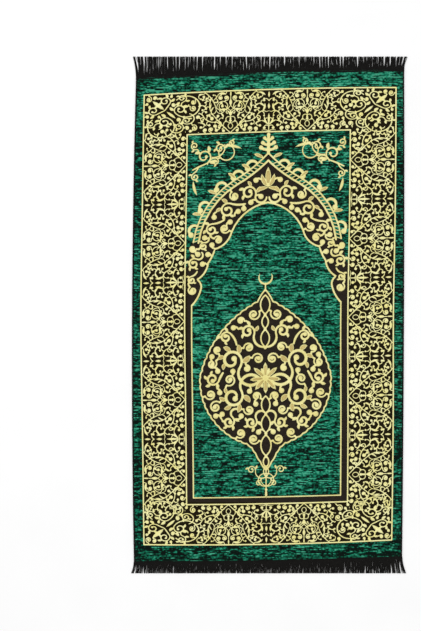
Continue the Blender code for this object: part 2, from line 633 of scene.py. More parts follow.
def keep_within(gaps, outline):
    """Marks everything outside an outline as full."""
    inside_it = np.zeros(gaps.x.shape, bool)
    for (ax, ay), (bx, by) in zip(outline, outline[1:] + outline[:1]):
        if ay != by:
            crosses = (ay > gaps.y) != (by > gaps.y)
            inside_it ^= crosses & (gaps.x < ax + (gaps.y - ay) * (bx - ax) / (by - ay))
    gaps.far[~inside_it] = 0.0


def curl_in(x, y, room, nx, ny, hand, cap=7.5, pen=2.2):
    """A curl with its ball at (x, y), that springs from the stroke at (nx, ny)."""
    toward = math.degrees(math.atan2(ny - y, nx - x))
    if room < 3 * pen:
        ball = 2 * min(3.2, max(1.9, room - 2.2))
        return inked(between(nx, ny, x, y, hand * 110, 1, 0), pen, "stem", ball * pen / 2.2)
    outer = min(room - 1.1 * pen, cap)
    ring = coil(x, y, outer, 0.55 * pen, toward, hand * (330 + 53 * outer / pen))
    root = inked(between(nx, ny, *ring[0][:2], 0, 1, 0), pen, "line", 0)
    return root + inked(ring, pen, "stem", 2.4 * pen)


def fill_gaps(box, pieces, narrowest, walls=(), mirror=None, most=80, outline=None,
              reach=11.0, cap=7.5, pen=2.2):
    """Curls for the gaps of a drawing, the widest gap first, until none is left that needs one.
    Reach is how far around a stroke is looked at, and cap the largest curl."""
    gaps = Gaps(box, walls)
    gaps.add(pieces, reach)
    if outline:
        keep_within(gaps, outline)
    made = []
    for number in range(most):
        x, y, room, nx, ny = gaps.widest()
        if room < narrowest:
            break
        if math.dist((x, y), (nx, ny)) > room + 2.5:
            gaps.far[np.hypot(gaps.x - x, gaps.y - y) < 1.5] = 0.0
            continue
        curl = curl_in(x, y, room, nx, ny, 1 if number % 2 else -1, cap, pen)
        made += curl
        gaps.add(curl + (mirror(curl) if mirror else []), reach)
    return made


print("an empty square of 60 mm takes", len(fill_gaps((2, 2, 58, 58), [disc(30, 30, 9)], 5.0)), "pieces")

# %% [markdown]
# ## From outlines to yarn
# The strokes overlap each other everywhere, and a weave has no overlaps: a place is either gold or it isn't.
# Blender's own constrained Delaunay triangulation joins them. It cuts all the outlines where they cross, and
# says for each triangle which outlines may cover it. A triangle is kept when its middle lies in one of them.
# The edge of what is left is given a short sloping wall, and shading it smoothly rounds it off like yarn.

# %% Join outlines and raise them
SLOPE = 0.12  # how far a wall leans out on its way down
SLIVER = 0.03  # a triangle less high than this is left out


def anticlockwise(outline):
    """The outline, turned round if it runs clockwise."""
    around = sum(ax * by - bx * ay for (ax, ay), (bx, by) in zip(outline, outline[1:] + outline[:1]))
    return list(outline) if around > 0 else list(reversed(outline))


def corner_triangles(piece):
    """A four-cornered piece as triangles that run anticlockwise, since a tight bend can fold it."""
    if len(piece) > 4:
        return [anticlockwise(piece)]
    out = []
    for a, b, c in (piece[:3], (piece[0], piece[2], piece[-1])):
        area = (b[0] - a[0]) * (c[1] - a[1]) - (c[0] - a[0]) * (b[1] - a[1])
        longest = max(math.dist(a, b), math.dist(b, c), math.dist(c, a))
        if abs(area) > SLIVER * longest:
            out.append([a, b, c] if area > 0 else [a, c, b])
    return out


def inside(x, y, outline):
    """Whether a place is inside an outline: a ray from it crosses the outline an odd number of times."""
    odd = False
    for (ax, ay), (bx, by) in zip(outline, outline[1:] + outline[:1]):
        if (ay > y) != (by > y) and x < ax + (bx - ax) * (y - ay) / (by - ay):
            odd = not odd
    return odd


def joined(pieces, holes=(), lines=()):
    """The triangles that the pieces cover and the holes don't. Lines only cut the triangles smaller."""
    outlines = [face for piece in pieces for face in corner_triangles(piece)]
    solid = len(outlines)
    outlines += [anticlockwise(hole) for hole in holes]
    points, faces, edges = [], [], []
    for outline in outlines:
        faces.append(list(range(len(points), len(points) + len(outline))))
        points += outline
    for line in lines:
        edges.append((len(points), len(points) + 1))
        points += line
    made = delaunay_2d_cdt([Vector(p) for p in points], edges, faces, 1, 1e-4, True)
    places, triangles, covers = made[0], made[2], made[5]
    keep = []
    for triangle, cover in zip(triangles, covers):
        x, y = sum((places[v] for v in triangle), Vector((0, 0))) / 3
        over = [k for k in cover if inside(x, y, outlines[k])]
        if over and max(over) < solid:
            keep.append(triangle)
    return places, keep


def relief(name, material, pieces, top, foot, holes=(), lines=()):
    """A flat figure raised from the cloth, from the height foot to the height top, in millimetres."""
    places, triangles = joined(pieces, holes, lines)
    ways = {(t[i], t[(i + 1) % len(t)]) for t in triangles for i in range(len(t))}
    rim = [(a, b) for a, b in ways if (b, a) not in ways]
    used = sorted({v for t in triangles for v in t})
    number = {v: i for i, v in enumerate(used)}
    points = [at(places[v].x, places[v].y, top) for v in used]
    out = {}
    for a, b in rim:
        side = places[b] - places[a]
        if side.length > 1e-6:
            normal = Vector((side.y, -side.x)) / side.length
            out[a] = out.get(a, Vector((0, 0))) + normal
            out[b] = out.get(b, Vector((0, 0))) + normal
    feet = {}
    for v, normal in out.items():
        push = normal.normalized() * SLOPE if normal.length > 1e-6 else Vector((0, 0))
        feet[v] = len(points)
        points.append(at(places[v].x + push.x, places[v].y + push.y, foot))
    faces = [[number[v] for v in t] for t in triangles]
    faces += [[number[b], number[a], feet[a], feet[b]] for a, b in rim if a in feet and b in feet]
    mesh = bpy.data.meshes.new(name)
    mesh.from_pydata(points, [], faces)
    mesh.validate()
    mesh.shade_smooth()
    mesh.materials.append(material)
    piece = bpy.data.objects.new(name, mesh)
    bpy.context.scene.collection.objects.link(piece)
    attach(piece, "root")
    print(name, len(mesh.polygons), "faces")
    return piece


# %% [markdown]
# ## The cloth itself
# The base of the rug is a thin closed sheet of the dark ground weave. Green and gold are raised from it
# further down. It is made as a grid, fine enough to follow the way the cloth lies.

# %% The ground cloth
GROUND_TOP = 2.0
GREEN_TOP = 2.7
GOLD_TOP = 2.5
GOLD_ON_GREEN = 3.05
TAN_TOP = 3.17
COLUMNS = 62
ROWS = 113


def ground_cloth():
    points, faces = [], []
    for z in (0.0, GROUND_TOP):
        for j in range(ROWS + 1):
            for i in range(COLUMNS + 1):
                x = CLOTH_WIDTH * (i / COLUMNS - 0.5)
                y = CLOTH_LENGTH * (j / ROWS - 0.5)
                points.append(at(x, y, z))
    across, layer = COLUMNS + 1, (COLUMNS + 1) * (ROWS + 1)
    for j in range(ROWS):
        for i in range(COLUMNS):
            a = j * across + i
            faces.append((a + across, a + across + 1, a + 1, a))
            faces.append(tuple(layer + v for v in (a, a + 1, a + across + 1, a + across)))
    ring = [i for i in range(across)]
    ring += [j * across + COLUMNS for j in range(1, ROWS + 1)]
    ring += [ROWS * across + i for i in range(COLUMNS - 1, -1, -1)]
    ring += [j * across for j in range(ROWS - 1, 0, -1)]
    for a, b in zip(ring, ring[1:] + ring[:1]):
        faces.append((a, b, layer + b, layer + a))
    mesh = bpy.data.meshes.new("ground_cloth")
    mesh.from_pydata(points, [], faces)
    mesh.shade_smooth()
    mesh.set_sharp_from_angle(angle=math.radians(40))
    mesh.materials.append(GROUND)
    cloth = bpy.data.objects.new("ground_cloth", mesh)
    bpy.context.scene.collection.objects.link(cloth)
    return cloth


cloth = ground_cloth()
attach(cloth, "root")
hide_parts("rug_cloth")
print("ground cloth:", len(cloth.data.polygons), "faces")

# %% [markdown]
# ## The plan of the rug
# Two frames of fine gold line hold the border between them, and a third line makes the niche. A line is cut
# into short lengths, so that it can follow the cloth where that bows.

# %% The frames
AXIS = -1.3  # the figure was woven this far left of the middle of the cloth
OUTER = (-289.7, -526.8, 291.7, 524.3)  # the outer frame: left, bottom, right and top
INNER = (-189.1, -433.6, 186.9, 427.0)
NICHE_HALF = 171.7
NICHE_FOOT = -418.0
LINE = 2.8
STEP = 20.0


def ruled(x1, y1, x2, y2, width):
    """A straight line as a row of short pieces."""
    count = max(1, round(math.hypot(x2 - x1, y2 - y1) / STEP))
    heading = math.degrees(math.atan2(y2 - y1, x2 - x1))
    path = [(x1 + (x2 - x1) * k / count, y1 + (y2 - y1) * k / count, heading) for k in range(count + 1)]
    return inked(path, width, "line", 0)


def framed(box, width):
    """The four lines of a frame."""
    x1, y1, x2, y2 = box
    corners = [(x1, y1), (x2, y1), (x2, y2), (x1, y2)]
    return [piece for a, b in zip(corners, corners[1:] + corners[:1]) for piece in ruled(*a, *b, width)]


def corners_of(box):
    x1, y1, x2, y2 = box
    return [(x1, y1), (x2, y1), (x2, y2), (x1, y2)]


def netting(box):
    """Lines every STEP or so across a box, both ways, that only cut its triangles smaller."""
    x1, y1, x2, y2 = box
    columns, lengths = round((x2 - x1) / STEP), round((y2 - y1) / STEP)
    lines = [[(x1 + (x2 - x1) * i / columns, y) for y in (y1, y2)] for i in range(columns + 1)]
    lines += [[(x, y1 + (y2 - y1) * j / lengths) for x in (x1, x2)] for j in range(lengths + 1)]
    return lines


frame_strokes = framed(OUTER, LINE) + framed(INNER, LINE)
relief("frame_lines", PALE, frame_strokes, GOLD_ON_GREEN, GROUND_TOP)

# %% [markdown]
# ## The green panels
# Chenille fills the margin outside the frame, the two spandrels over the arch, and the niche under it, and it
# stops at the medallion.

# %% Green margin
CLOTH = (-CLOTH_WIDTH / 2, -CLOTH_LENGTH / 2, CLOTH_WIDTH / 2, CLOTH_LENGTH / 2)
relief("green_margin", GREEN, [corners_of(CLOTH)], GREEN_TOP, GROUND_TOP - 0.2,
       holes=[corners_of(OUTER)], lines=netting(CLOTH))

# %% [markdown]
# ## Scrolls with leaves
# The middle of the rug and the corners of its border are filled with one motif at many sizes: a stem that
# winds into a spiral and throws leaves off its back. So a table gives only where a spiral sits, how large
# it is and where its stem comes from. The stem's bend follows from having to meet the spiral without a kink.

# %% A spiral with its stem and its leaves
def leaf_at(x, y, heading, length, turn, width, pieces, fills, shape="leaf"):
    """One leaf, with a darker middle if it is broad."""
    path = [(x + px, y + py, a) for px, py, a in bent(length, heading, turn, 1, 0)]
    pieces += inked(path, width, shape, 0)
    if width >= BROAD:
        fills += filling(path, width, shape, TAN_RIM)


LEAF_LEAVE = 72  # degrees between a spiral and the leaf that grows from its back
LEAF_TURN = 60
SPIRAL_SWEEP = 430
SPIRAL_EYE = 0.3  # the inner radius of a spiral, as a share of its outer one


def scrollwork(table, fills, width=5.6):
    """Inks a table of spirals. Hand is 1 for a spiral that winds to the left and -1 for one to the right."""
    pieces = []
    for row in rows(table):
        radius, hand, count = row["radius"], row["hand"], int(row["leaves"])
        pen = width * min(1.0, 0.45 + radius / 45)
        path = coil(row["x"], row["y"], radius, radius * SPIRAL_EYE, row["start"], hand * SPIRAL_SWEEP)
        ex, ey, heading = path[0]
        chord = math.degrees(math.atan2(ey - row["fromy"], ex - row["fromx"]))
        turn = 2 * ((heading - chord + 180) % 360 - 180)
        pieces += inked(between(row["fromx"], row["fromy"], ex, ey, turn, 1, 0), pen, "stem", 0)
        pieces += inked(path, pen, "stem", pen * 2.0)
        for k in range(count):
            px, py, heading = place_on(path, 0.06 + 0.62 * k / count)
            size = radius * (1.0 - 0.08 * k)
            leave = heading - hand * LEAF_LEAVE
            leaf_at(px, py, leave, size, hand * LEAF_TURN, max(4.0, size * 0.52), pieces, fills)
    return pieces


sample = scrollwork("""
name x y radius start hand fromx fromy leaves
one  0 0 20     180   1    -30   -20   3
""", [])
print("one spiral with three leaves takes", len(sample), "pieces")

# %% [markdown]
# ## Half of one repeat
# The border repeats a heart of stems, and a palmette stands between one heart and the next. The repeat is
# its own mirror image, so half of it is drawn: from the axis of a heart along the border, and from the
# inner frame out to the outer one. The listed strokes give the large forms, and the gap search adds
# the small curls.

# %% Half of one repeat
# u runs along the border from the axis of a heart, v from its inner line to its outer line
REPEAT = 181.0
DEPTH = 104.0
HEART_STEMS = """
name    x1  y1  x2 y2  turn curl sway width shape ball
side     0   1  42 47    10 1    0  3.0 stem  0
flank   42  47  44 89    70 1    0  3.0 stem  0
cross   62 103  36 68    36 1    0  3.0 stem  0
tail    36  68  31 52   -22 1    0  2.4 taper 0
seed     0 103   0 90     0 1    0  6.5 drop  0
wire     0  90   0 82     0 1    0  2.4 stem  0
bulb     0  84   0 68     0 1    0  10  leaf  0
gemA     0  68  10 57    -6 1    0  2.3 stem  0
gemB    -1  54  13 68     8 1    0  2.3 stem  0
axis     0  46   0 26     0 1    0  2.4 stem  0
petal    1  43   8 56   -55 1    0  5.5 leaf  0
cup      0  42   0 57     0 1    0  6.0 leaf  0
almond   0  25   0 11   150 1    0  2.2 stem  0
inbud    9  58.5 25 58  -25 1    0  7.5 leaf  0
inwire  24  58  34 63    20 1    0  2.4 stem  0
scroll  33  63  22 75   420 1.25 0  2.6 stem  6.5
topbud  29  97  11 96    50 1    0  8.5 leaf  0
topwire 41  82  29 97   -30 1    0  2.4 stem  0
wing    40  28  63 41    50 1    0  3.2 stem  0
foot    40  28  33 8    190 1.25 0  3.2 stem  8.5
"""
HEART_BRANCHES = """
name  root   at   leave length turn curl width shape ball
a1    side   0.20   18   19  -235  1.4  2.8  stem  8.0
a2    side   0.42  -10   20  -215  1.3  2.8  curl  0
a3    side   0.42  -62   9    -30  1    2.4  stem  4.6
a4    side   0.66  -20   10  -120  1.2  2.6  curl  4.5
volA  axis   0.98   85   40   335  1.3  2.4  stem  4.5
a5    side   0.62   30   15   120  1.2  2.6  curl  4.5
a6    side   0.36   28   15    80  1.2  2.4  curl  4.5
a7    side   0.48   35   11   -60  1    3.6  leaf  0
b1    flank  0.04  -40   13   -60  1    2.8  taper 5
b2    flank  0.15   25   15    60  1    4.6  leaf  0
b3    flank  0.35   28   14   -10  1    4.2  leaf  0
b4    flank  0.42  -25   13  -160  1.2  2.7  curl  5
b5    flank  0.80  -45   12  -60   1.2  2.7  curl  5.5
c1    cross  0.45   25   15   130  1.1  2.6  curl  5
c2    cross  0.30   50   20   110  1.2  2.8  curl  6
c3    cross  0.74  -28   13   -60  1    4.2  leaf  0
d1    tail   0.60   25   15    80  1.2  2.4  curl  4.5
d2    tail   0.95  -20   20  -120  1.2  2.6  curl  5
d3    d2     0.45   30   13    60  1    6.0  leaf  0
d4    d2     0.60  -50   9   -120  1    2.4  curl  4
e1    topwire 0.5 -30   11  -120  1.1  2.5  curl  4.5
e2    topwire 0.3  40   10   110  1.1  2.5  curl  4
e3    topbud  0.9 -60   8   -60   1    2.5  curl  4
f1    petal  0.85 -20   10  -200  1.1  2.5  curl  4
w1    wing   0.40 -30   18  -200  1.2  2.8  curl  6.5
w3    wing   0.60  30   15   110  1.1  2.8  curl  6
w4    wing   0.95 -25   17  -190  1.2  2.8  curl  6
"""
PALMETTE_STEMS = """
name    x1  y1  x2 y2  turn curl sway width shape ball
mid     90.5 17 90.5 46   0 1    0  7.5 leaf  0
lobe    90  19  80 38   -60 1    0  5.5 leaf  0
armA    89  17  73 29    50 1    0  5.0 leaf  0
armB    74  28  57 19    60 1    0  4.6 leaf  0
base    90.5 21 90.5 3    0 1    0  2.8 stem  0
baseL   90  14  80 10   160 1.2  0  2.8 curl  7.5
baseF   89   3  74  4    50 1    0  2.6 taper 0
dropT   90.5 85 90.5 99   0 1    0  6.5 leaf  0
crown   90.5 71 79 82   120 1    0  2.8 curl  5
pad     90.5 57 90.5 70   0 1    0  8   leaf  0
vineA   63  41  80 52    -80 1   0  3.2 stem  0
vineB   80  52  90 52    80 1    0  2.8 taper 0
outleaf 66  99  82 91   -40 1    0  7.0 leaf  0
outwire 60 101  68 98    50 1    0  2.4 stem  0
"""
PALMETTE_BRANCHES = """
name  root   at   leave length turn curl width shape ball
v1    vineA  0.35  28   16   160  1.2  2.8  curl  6
v2    vineA  0.70 -40   14  -90   1.2  2.7  curl  4.5
v3    vineA  0.80  40   20    50  1    7.0  leaf  0
v4    v3     0.55  40   18    60  1    6.0  leaf  0
v5    v4     0.60 -30   15  -150  1.2  2.7  curl  6
v6    v4     0.85  20   17    60  1    4.6  leaf  0
v7    v6     0.65  40   12   110  1.1  2.7  curl  5.5
v8    v6     0.40 -40   12  -130  1.1  2.7  curl  5.5
p1    armA   0.55 -40   17  -150  1.2  2.8  curl  7
p2    armB   0.60  30   15   150  1.2  2.8  curl  7
p3    armB   0.25 -30   11  -90   1.1  2.6  taper 4.5
q1    crown  0.30 -40   13  -110  1.1  2.6  curl  5
o1    outleaf 0.5 -30   13  -120  1.1  2.6  curl  4.5
"""
PEN = 0.66
BALLS = 0.88
HALF_CELL = drawing(HEART_STEMS, HEART_BRANCHES, pen=PEN, balls=BALLS)
HALF_CELL += drawing(PALMETTE_STEMS, PALMETTE_BRANCHES, pen=PEN, balls=BALLS)

FRAME_STRIPS = [[(-9, v - 1.5), (200, v - 1.5), (200, v + 1.5), (-9, v + 1.5)] for v in (0, DEPTH)]
HALF_CELL += fill_gaps((0.5, 1, REPEAT / 2, DEPTH), mirrored(HALF_CELL) + FRAME_STRIPS, 5.2,
                       walls=[(1, 0, 0), (1, 0, REPEAT / 2)], mirror=mirrored)
print("half a repeat:", len(HALF_CELL), "pieces")

# %% [markdown]
# ## The corner block
# Where two rows meet, a square block turns the corner. It is the same spirals with leaves, mirrored in the
# diagonal of the square, and the gap search further down fills it in.

# %% The corner block
CORNER_SCROLLS = """
name    x  y radius start hand fromx fromy leaves
outer  84 60 12      240   1    60   60    4
lower  60 28 13      120  -1    86   36    4
side   90 24 10      200   1    72   10    3
inner  30 14  9      160  -1    48    8    3
"""
CORNER_HALF = scrollwork(CORNER_SCROLLS, [], width=3.4)
leaf_at(62, 62, 45, 34, 0, 9, CORNER_HALF, [])
leaf_at(56, 56, 225, 26, 0, 6, CORNER_HALF, [])
CORNER = CORNER_HALF + [[(y, x) for x, y in reversed(piece)] for piece in CORNER_HALF]
print("corner block:", len(CORNER), "pieces")


# %% [markdown]
# ## Laying out the border
# Five hearts stand on each long side and two on each end. All four rows are one row of cells, turned
# until its inner line faces the middle of the rug. The border isn't equally deep all round, so each row
# is stretched to its own depth.

# %% Lay out the border
SIDE_REPEAT = 182.4
SIDE_MIDDLE = -7.0
END_REPEAT = 176.8
HEART_REACH = 76.0  # past the last heart of a side, its corner block takes over
RIGHT_DEPTH = OUTER[2] - INNER[2]
LEFT_DEPTH = INNER[0] - OUTER[0]
TOP_DEPTH = OUTER[3] - INNER[3]
FOOT_DEPTH = INNER[1] - OUTER[1]


def middle_of(piece):
    return sum(x for x, _ in piece) / len(piece), sum(y for _, y in piece) / len(piece)


def run_of_cells(middles, repeat):
    """A border of hearts with these middles along u, cut off where the corner blocks begin."""
    cell = mirrored(HALF_CELL)
    stretch = repeat / REPEAT
    out = []
    for number, u in enumerate(middles):
        pieces = [p for p in cell if abs(middle_of(p)[0]) <= REPEAT / 2]
        if number == len(middles) - 1:
            pieces = [p for p in pieces if middle_of(p)[0] < HEART_REACH]
        if number == 0:
            pieces = [p for p in pieces if middle_of(p)[0] > -HEART_REACH]
        out += moved(pieces, dx=u, scale_x=stretch)
    return out


side_run = run_of_cells([SIDE_REPEAT * k for k in (-2, -1, 0, 1, 2)], SIDE_REPEAT)
end_run = run_of_cells([-END_REPEAT / 2, END_REPEAT / 2], END_REPEAT)
right = moved(side_run, dx=INNER[2], dy=SIDE_MIDDLE, scale_y=RIGHT_DEPTH / DEPTH, turn=-90)
left = moved(side_run, dx=INNER[0], dy=SIDE_MIDDLE, scale_y=LEFT_DEPTH / DEPTH, turn=90)
top = moved(end_run, dx=AXIS, dy=INNER[3], scale_y=TOP_DEPTH / DEPTH)
foot = moved(end_run, dx=AXIS - 2.0, dy=INNER[1], scale_y=-FOOT_DEPTH / DEPTH)
BLOCK_WIDTH = 1.10
BLOCK_HEIGHT = 0.87
for x, y, side, end, run in (
    (OUTER[2], OUTER[3], 1, 1, top), (OUTER[0], OUTER[3], -1, 1, top),
    (OUTER[2], OUTER[1], 1, -1, foot), (OUTER[0], OUTER[1], -1, -1, foot),
):
    run += moved(CORNER, dx=x - side * DEPTH * BLOCK_WIDTH, dy=y - end * DEPTH * BLOCK_HEIGHT,
                 scale_x=side * BLOCK_WIDTH, scale_y=end * BLOCK_HEIGHT)

print("rows of cells:", len(right), len(left), len(top), len(foot), "pieces")

# %% [markdown]
# ## Filling in beside the corners
# The rows stop short of the corner blocks and leave uneven gaps there. The search that finished the
# repeat also finishes these, this time in place on the rug. Then the four rows are raised as yarn.

# %% Fill the gaps beside the corner blocks, and raise the border
for run, end, up in ((top, 3, 1), (foot, 1, -1)):
    for side, way in ((0, -1), (2, 1)):
        for xs, ys in (
            ((INNER[side], OUTER[side]), (OUTER[end] - up * 150, OUTER[end])),
            ((INNER[side] - way * 60, INNER[side]), (INNER[end], OUTER[end])),
        ):
            x1, y1, x2, y2 = box = (min(xs), min(ys), max(xs), max(ys))
            near = [(p, *middle_of(p)) for p in right + left + run + frame_strokes]
            near = [p for p, x, y in near if x1 - 15 < x < x2 + 15 and y1 - 15 < y < y2 + 15]
            curls = fill_gaps(box, near, 5.3, most=120)
            run += curls
            print("corner", side, end, "gains", len(curls), "pieces of curls")
for name, run in (("right", right), ("left", left), ("top", top), ("foot", foot)):
    relief("border_" + name, PALE, run, GOLD_TOP, GROUND_TOP - 0.2)

# %% [markdown]
# ## The outlines of the arch
# The arch is the part of the design that points. Its outer line is two long curves that meet in a tip,
# and its inner line is a chain of lobes that comes down to the columns. A ladder of slanting stitches
# runs along the outer line, between it and a second line that is the same path moved sideways.

# %% The outlines of the arch
# x runs right from its axis, y up from the middle of the rug
ARCH_EDGES = """
name      x1   y1   x2   y2 turn curl sway
crest      0  378   78  317   18 1    0
shoulder  78  317  170  176  -52 1    0
"""
NICHE_EDGES = """
name      x1   y1   x2   y2 turn curl sway
crown      0  264   82  198  -60 1    0
haunch    82  198  120  159   64 1    0
lobe1    120  159  135  127   20 1    0
lobe2    135  127  160   89   56 1    0
lobe3    160   89  151   66   80 1    0
lobe4    151   66  170.5 30   30 1    0
"""


def chained(table):
    """The strokes of a table as one path."""
    path = []
    for row in rows(table):
        line = between(*(row[k] for k in ("x1", "y1", "x2", "y2", "turn", "curl", "sway")))
        path += line[bool(path):]
    return path


def beside(path, distance):
    """A path that runs this far to the right of another."""
    turns = [(x, y, a, math.radians(a)) for x, y, a in path]
    return [(x + distance * math.sin(t), y - distance * math.cos(t), a) for x, y, a, t in turns]


ARCH_PATH = chained(ARCH_EDGES)
NICHE_PATH = chained(NICHE_EDGES)
LADDER = 12.0  # between the middles of the ladder's two rails


def from_axis(path):
    """A path without its part left of the axis."""
    first = next(i for i, (x, _, _) in enumerate(path) if x > 0)
    (ax, ay, _), (bx, by, heading) = path[first - 1], path[first]
    return [(0.0, ay + (by - ay) * (0 - ax) / (bx - ax), heading)] + path[first:]


RAIL = from_axis(beside(ARCH_PATH, LADDER))


def rungs(path, offset, depth, length, pitch):
    """Short slanting blocks along a path, as the twist of a cord."""
    out, run = [], 0.0
    for (ax, ay, aa), (bx, by, ba) in zip(path, path[1:]):
        reach = math.hypot(bx - ax, by - ay)
        while run < reach:
            f = run / reach
            angle = math.radians(aa + (ba - aa) * f)
            c, s = math.cos(angle), math.sin(angle)
            x, y = ax + (bx - ax) * f + offset * s, ay + (by - ay) * f - offset * c
            shape = ((-length / 2 - 2.5, -depth / 2), (length / 2 - 2.5, -depth / 2),
                     (length / 2 + 2.5, depth / 2), (-length / 2 + 2.5, depth / 2))
            out.append([(x + c * u - s * v, y + s * u + c * v) for u, v in shape])
            run += pitch
        run -= reach
    return out


print("arch outline:", len(ARCH_PATH), "points, niche outline:", len(NICHE_PATH))

# %% [markdown]
# ## Inside the arch
# A chain of spirals runs down each side of the arch and gets smaller with the room it has. A palmette
# stands on the axis, and small curls fill what is left. Only the right half is made.

# %% Inside the arch
ARCH_SCROLLS = """
name    x   y  radius start hand fromx fromy leaves
crown   44 287 17      200  -1     3   276   4
haunch  92 248 17      110  -1    52   262   4
flank  128 204 13.5     90  -1   100   226   4
waist  146 166  9      100  -1   134   186   3
boss   168 126 13      120  -1   150   152   4
toe    172  88  9       80  -1   160   108   3
"""
arch_fills = []
arch_half = scrollwork(ARCH_SCROLLS, arch_fills)
# the y, heading, length, turn and width of each leaf
PALMETTE = ((300, 90, 46, 0, 13), (300, 44, 34, 40, 10), (298, 4, 30, -40, 9))
for y, heading, length, turn, width in PALMETTE:
    leaf_at(0, y, heading, length, turn, width, arch_half, arch_fills)
for path, width in ((ARCH_PATH, 3.5), (RAIL, 4.2), (NICHE_PATH, 4.0)):
    arch_half += inked(path, width, "line", 0)
arch_band = [(x, y) for x, y, _ in RAIL] + [(186, 160), (186, 62)]
arch_band += [(x, y) for x, y, _ in reversed(NICHE_PATH) if y > 62] + [(0, 264)]
side_lines = [(1, 0, 0), (1, 0, 187)]
arch_half += fill_gaps((1, 62, 187, 364), arch_half, 8.2, side_lines, most=32, outline=arch_band,
                       reach=30, cap=13, pen=4.2)
print("arch:", len(arch_half), "pieces in half,", len(arch_fills), "of them tan")

# %% [markdown]
# ## On top of the arch
# Hooks and buds grow out of the arch by turns, and a stepped finial stands on its tip. In each corner
# above it a light spray of spirals curls away from the frame.

# %% Hooks, buds, finial and sprays
HOOKS = 5
TIERS = 3


def crockets(fills):
    """Hooks and buds by turns along the arch, all leaning the same way."""
    pieces = []
    for k in range(2 * HOOKS):
        x, y, heading = place_on(ARCH_PATH, 0.07 + 0.9 * k / (2 * HOOKS))
        if k % 2:
            path = [(x + px, y + py, a) for px, py, a in bent(38, heading + 104, -176, 1, 0)]
            pieces += inked(path, 6.2, "stem", 12.5)
        else:
            leaf_at(x, y, heading + 78, 24, -20, 10.5, pieces, fills, "bud")
    return pieces


def finial():
    """A mast with arms that get shorter towards its top, each with a ball on its end."""
    pieces = inked(between(0, 378, 0, 421, 0, 1, 0), 7.0, "line", 8)
    for tier in range(TIERS):
        arm = between(0, 386 + 11 * tier, 17 - 4 * tier, 391 + 11 * tier, 50, 1, 0)
        pieces += inked(arm, 6.0, "line", 10 - tier)
    return pieces


SPRAY_SCROLLS = """
name    x   y  radius start hand fromx fromy leaves
large  148 374 17      250  -1   174   344   3
middle 112 392 11.5    200  -1   130   372   3
small  168 328  9       60  -1   160   352   2
inner  122 362  8      100   1   140   356   2
corner 170 400  9      250   1   162   386   2
tip     84 404  7      300   1   100   400   2
"""
spray = scrollwork(SPRAY_SCROLLS, [], width=4.2)
leaf_at(101, 398, 176, 40, 30, 6.4, spray, [])
leaf_at(172, 318, -90, 34, -30, 6.4, spray, [])
arch_half += crockets(arch_fills) + finial()
print("over the arch:", 2 * HOOKS, "hooks and buds,", TIERS, "tiers")


# %% [markdown]
# ## The outline of the medallion
# A lamp-shaped medallion hangs in the niche. Its edge is a long curve broken into small lobes, all of one
# kind, so a loop can set them along the curve and only the curve is given.

# %% The scalloped outline of the medallion
# x runs right from its axis, y up from its widest place
MEDAL_EDGE = """
name     x1   y1   x2   y2 turn curl sway lobes bulge
tip       0  201   18  172   24 1    0    1     -20
upper    18  172  150    0  -50 1    0   14     -64
lower   150    0   44 -155  -76 1    0   13     -64
throat   44 -155   24 -178   34 1    0    2     -40
point    24 -178    0 -217  -10 1    0    2     -30
"""


def scallops():
    """The right-hand edge as a path: small lobes that bulge outwards, from the top point to the bottom."""
    path = []
    for row in rows(MEDAL_EDGE):
        ends = (row[k] for k in ("x1", "y1", "x2", "y2"))
        line = between(*ends, row["turn"], 1, 0)
        count = int(row["lobes"])
        for k in range(count):
            (ax, ay, _), (bx, by, _) = place_on(line, k / count), place_on(line, (k + 1) / count)
            lobe = between(ax, ay, bx, by, row["bulge"], 1, 0)
            path += lobe[bool(path):]
    return path


EDGE_PATH = scallops()
MEDAL_GROUND = [(x, y) for x, y, _ in EDGE_PATH]
MEDAL_GROUND += [(-x, y) for x, y in reversed(MEDAL_GROUND[1:-1])]

print("medallion edge:", len(EDGE_PATH), "points in half")

# %% [markdown]
# ## Inside the medallion
# A rosette sits at the middle, with a chain of almonds above and below it along the axis. Seven spirals on
# each side come out of the chain or start beside each other, and small curls fill what is left.

# %% Inside the medallion
# the middle of each almond and half its length
ALMONDS = ((166, 22), (126, 15), (88, 20), (-66, 20), (-110, 21), (-160, 24), (-198, 13))
MEDAL_SCROLLS = """
name       x    y radius start hand fromx fromy leaves
upper     78   38 25      215  -1     8    16   5
lower     76  -46 24      150   1     8   -24   5
crown     40  104 16      200  -1     2    68   4
shoulder  90   92 13      130  -1    66    74   3
side     122   -4 15      200   1    98    10   4
foot      34 -106 14      150   1     2   -84   4
heel      86 -104 14      130   1    62   -78   4
"""
MEDAL_CENTRE = -4.0
medal_fills = []
MEDAL_HALF = scrollwork(MEDAL_SCROLLS, medal_fills, width=6.4)
for middle, half in ALMONDS:
    MEDAL_HALF += inked(between(0, middle + half, 0, middle - half, -105, 1, 0), 3.2, "line", 0)
    MEDAL_HALF += inked(between(0, middle - half, 0, middle - half - 2, 0, 1, 0), 3.0, "line", 7)
for heading in (90, 42, -6, -48, -90):
    leaf_at(0, MEDAL_CENTRE, heading, 36, 0, 13, MEDAL_HALF, medal_fills, "bud")
MEDAL_HALF += [disc(0, MEDAL_CENTRE, 13)]
MEDAL_HALF += inked(EDGE_PATH, 3.4, "line", 0)
MEDAL_HALF += fill_gaps((1, -214, 150, 198), MEDAL_HALF, 9.2, [(1, 0, 0)], most=60, outline=MEDAL_GROUND,
                        reach=30, cap=14, pen=4.2)
print("medallion:", len(MEDAL_HALF), "pieces in half,", len(medal_fills), "tan")

# %% [markdown]
# ## Over and under the medallion
# A crescent on a short mast stands on the point of the medallion, and a pendant hangs from its foot: two
# spirals and a drop. They lie on the green, so they are raised as high as the other gold on green.

